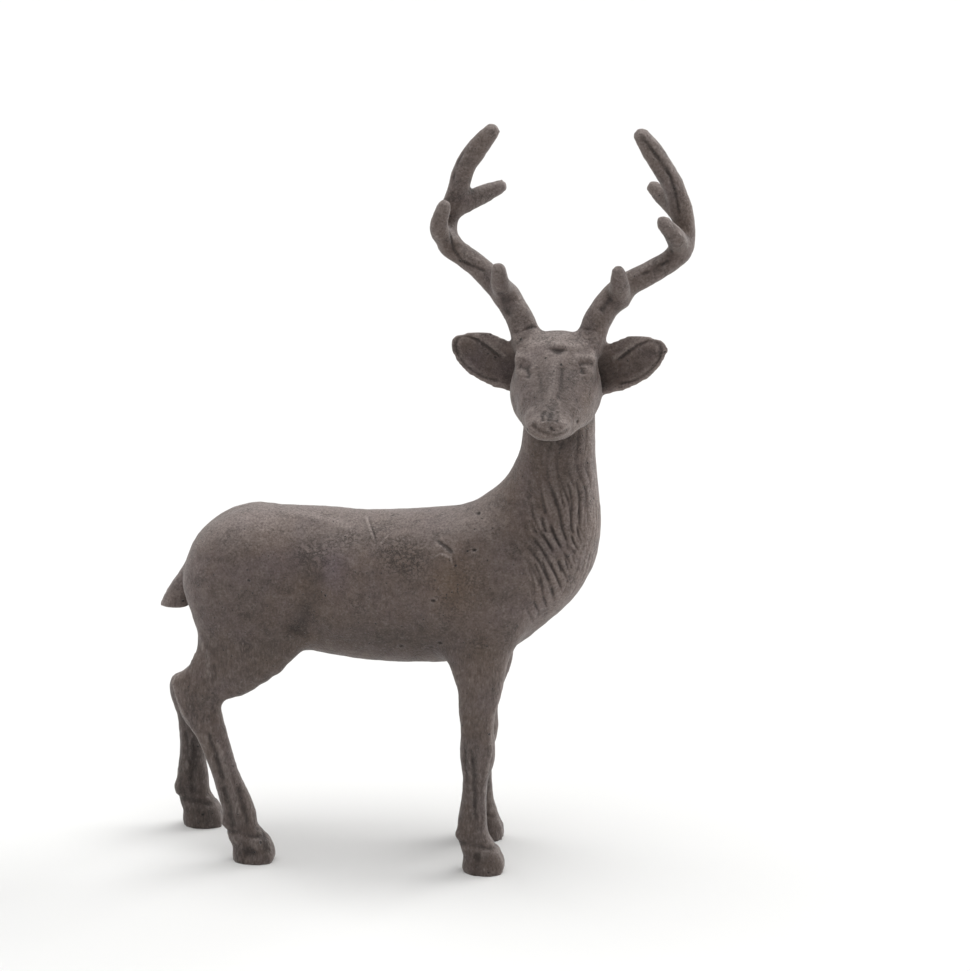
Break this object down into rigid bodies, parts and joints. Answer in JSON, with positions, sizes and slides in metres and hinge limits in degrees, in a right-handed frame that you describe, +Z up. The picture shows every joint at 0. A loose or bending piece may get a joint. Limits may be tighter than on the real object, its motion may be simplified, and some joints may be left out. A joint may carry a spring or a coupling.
{
  "type": "stag statue",
  "caption": "Cast iron stag standing on its own hooves, head turned to one side, with branching antlers.",
  "frame": {"origin": "on the floor, under the middle of the figure's bounding box", "axes": "+X the way the body faces, +Y the stag's left side, +Z up"},
  "size_m": [0.233, 0.0808, 0.3199],
  "materials": {
    "iron": "rough sand-cast, brown-grey, matte, with pits and dusty high spots"
  },
  "bodies": {
    "root": {"stag": "iron"}
  },
  "joints": []
}
